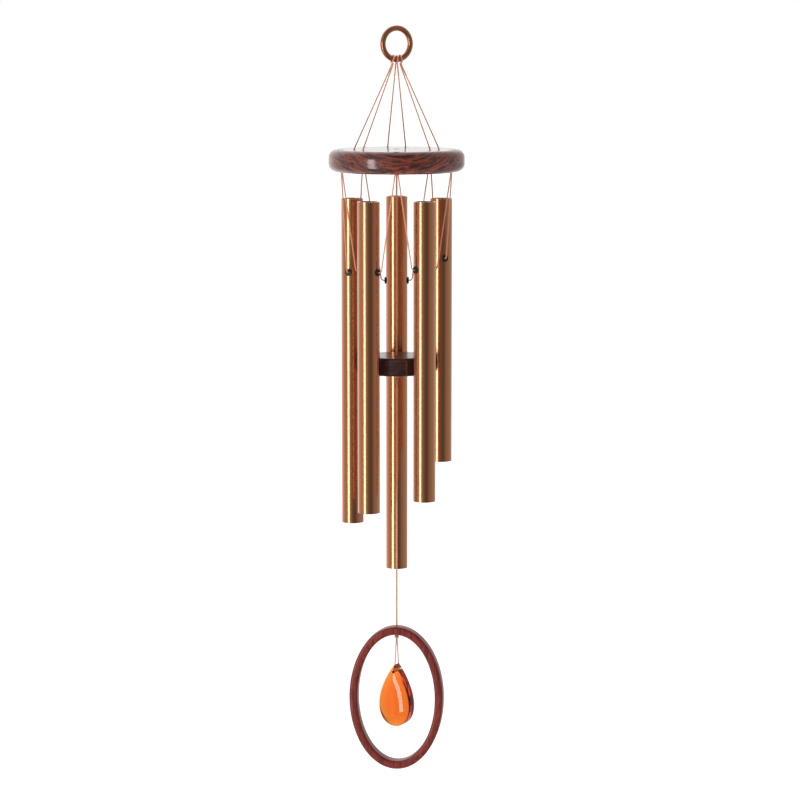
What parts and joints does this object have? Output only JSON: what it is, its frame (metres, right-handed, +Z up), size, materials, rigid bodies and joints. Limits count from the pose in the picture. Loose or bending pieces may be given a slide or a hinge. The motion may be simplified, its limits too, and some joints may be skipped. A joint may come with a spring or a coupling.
{
  "type": "wind chime",
  "caption": "Hanging wind chime with bronze tubes slung under a round wooden disc, a wooden striker, and an oval wooden sail around an amber glass drop.",
  "frame": {"origin": "highest point inside the hanging ring, where the hook bears", "axes": "+Z up, along the hanging line; +X to the viewer's right and +Y away from the viewer, with the longest tube at the back"},
  "size_m": [0.1164, 0.1164, 0.6466],
  "materials": {
    "ring_bronze": "satin bronze",
    "copper_cord": "twisted cord with a soft sheen",
    "tan_cord": "knotted cord",
    "dark_wood": "dark streaked hardwood under a satin varnish",
    "striker_wood": "very dark hardwood",
    "red_wood": "red-brown hardwood under a satin varnish",
    "tube_bronze": "bronze anodised, brushed along the tube",
    "black_rubber": "matt",
    "amber_glass": "clear polished amber glass"
  },
  "bodies": {
    "ring": {"hanging_ring": "ring_bronze"},
    "loops": {"hanger_loop_1": "copper_cord", "hanger_loop_2": "copper_cord", "hanger_loop_3": "copper_cord"},
    "crown": {"hanger_cord_1": "copper_cord", "hanger_cord_2": "copper_cord", "hanger_cord_3": "copper_cord", "top_disc": "dark_wood", "hanger_knots": "copper_cord", "lacing_knots": "copper_cord"},
    "sling_1": {"sling_1": "copper_cord"},
    "tube_1": {"tube_1": "tube_bronze", "tube_1_plugs": "black_rubber"},
    "sling_2": {"sling_2": "copper_cord"},
    "tube_2": {"tube_2": "tube_bronze", "tube_2_plugs": "black_rubber"},
    "sling_3": {"sling_3": "copper_cord"},
    "tube_3": {"tube_3": "tube_bronze", "tube_3_plugs": "black_rubber"},
    "sling_4": {"sling_4": "copper_cord"},
    "tube_4": {"tube_4": "tube_bronze", "tube_4_plugs": "black_rubber"},
    "sling_5": {"sling_5": "copper_cord"},
    "tube_5": {"tube_5": "tube_bronze", "tube_5_plugs": "black_rubber"},
    "centre_knot": {"centre_knot": "copper_cord"},
    "striker_cord": {"striker_cord": "copper_cord"},
    "striker": {"striker": "striker_wood"},
    "striker_knot": {"striker_knot": "copper_cord"},
    "sail_cord": {"sail_cord": "copper_cord", "sail_knot": "tan_cord"},
    "sail": {"sail_ring": "red_wood"},
    "drop_loop": {"drop_loop": "copper_cord"},
    "drop": {"glass_drop": "amber_glass"}
  },
  "joints": [
    {"name": "loops_slide", "type": "hinge", "parent": "ring", "child": "loops", "pos_m": [0, 0, -0.0109], "axis": [-0.4848, 0.8746, 0], "range_deg": [-10, 10]},
    {"name": "crown_swing", "type": "hinge", "parent": "loops", "child": "crown", "pos_m": [0, 0, -0.0241], "axis": [0.8746, 0.4848, 0], "range_deg": [-12, 12]},
    {"name": "sling_1_swing", "type": "hinge", "parent": "crown", "child": "sling_1", "pos_m": [0, 0.04029, -0.119], "axis": [1, 0, 0], "range_deg": [-1, 8]},
    {"name": "tube_1_rock", "type": "hinge", "parent": "sling_1", "child": "tube_1", "pos_m": [0, 0.04029, -0.21617], "axis": [1, 0, 0], "range_deg": [-1.2, 6]},
    {"name": "sling_2_swing", "type": "hinge", "parent": "crown", "child": "sling_2", "pos_m": [-0.03832, 0.01245, -0.119], "axis": [0.309, 0.9511, 0], "range_deg": [-1, 8]},
    {"name": "tube_2_rock", "type": "hinge", "parent": "sling_2", "child": "tube_2", "pos_m": [-0.03832, 0.01245, -0.20587], "axis": [0.309, 0.9511, 0], "range_deg": [-1.2, 6]},
    {"name": "sling_3_swing", "type": "hinge", "parent": "crown", "child": "sling_3", "pos_m": [-0.02368, -0.03259, -0.119], "axis": [0.809, -0.5878, 0], "range_deg": [-8, 1]},
    {"name": "tube_3_rock", "type": "hinge", "parent": "sling_3", "child": "tube_3", "pos_m": [-0.02368, -0.03259, -0.20228], "axis": [0.809, -0.5878, 0], "range_deg": [-6, 1.2]},
    {"name": "sling_4_swing", "type": "hinge", "parent": "crown", "child": "sling_4", "pos_m": [0.02368, -0.03259, -0.119], "axis": [0.809, 0.5878, 0], "range_deg": [-8, 1]},
    {"name": "tube_4_rock", "type": "hinge", "parent": "sling_4", "child": "tube_4", "pos_m": [0.02368, -0.03259, -0.20004], "axis": [0.809, 0.5878, 0], "range_deg": [-6, 1.2]},
    {"name": "sling_5_swing", "type": "hinge", "parent": "crown", "child": "sling_5", "pos_m": [0.03832, 0.01245, -0.119], "axis": [-0.309, 0.9511, 0], "range_deg": [-8, 1]},
    {"name": "tube_5_rock", "type": "hinge", "parent": "sling_5", "child": "tube_5", "pos_m": [0.03832, 0.01245, -0.19377], "axis": [-0.309, 0.9511, 0], "range_deg": [-6, 1.2]},
    {"name": "striker_swing_front_back", "type": "hinge", "parent": "crown", "child": "centre_knot", "pos_m": [0, 0, -0.1027], "axis": [1, 0, 0], "range_deg": [-1.3, 1.3]},
    {"name": "striker_swing_side", "type": "hinge", "parent": "centre_knot", "child": "striker_cord", "pos_m": [0, 0, -0.1027], "axis": [0, 1, 0], "range_deg": [-1.3, 1.3]},
    {"name": "striker_spin", "type": "hinge", "parent": "striker_cord", "child": "striker", "pos_m": [0, 0, -0.277], "axis": [0, 0, 1], "continuous": true},
    {"name": "sail_swing_front_back", "type": "hinge", "parent": "striker_cord", "child": "striker_knot", "pos_m": [0, 0, -0.29525], "axis": [1, 0, 0], "range_deg": [-9, 9]},
    {"name": "sail_swing_side", "type": "hinge", "parent": "striker_knot", "child": "sail_cord", "pos_m": [0, 0, -0.29525], "axis": [0, 1, 0], "range_deg": [-9, 9]},
    {"name": "sail_swivel", "type": "hinge", "parent": "sail_cord", "child": "sail", "pos_m": [0, 0, -0.515], "axis": [0, 0, 1], "continuous": true},
    {"name": "drop_swing", "type": "hinge", "parent": "sail_cord", "child": "drop_loop", "pos_m": [0, 0, -0.5245], "axis": [0.866, -0.5, 0], "range_deg": [-12, 12]},
    {"name": "drop_rock", "type": "hinge", "parent": "drop_loop", "child": "drop", "pos_m": [0, 0, -0.555], "axis": [0.5, 0.866, 0], "range_deg": [-12, 12]}
  ]
}
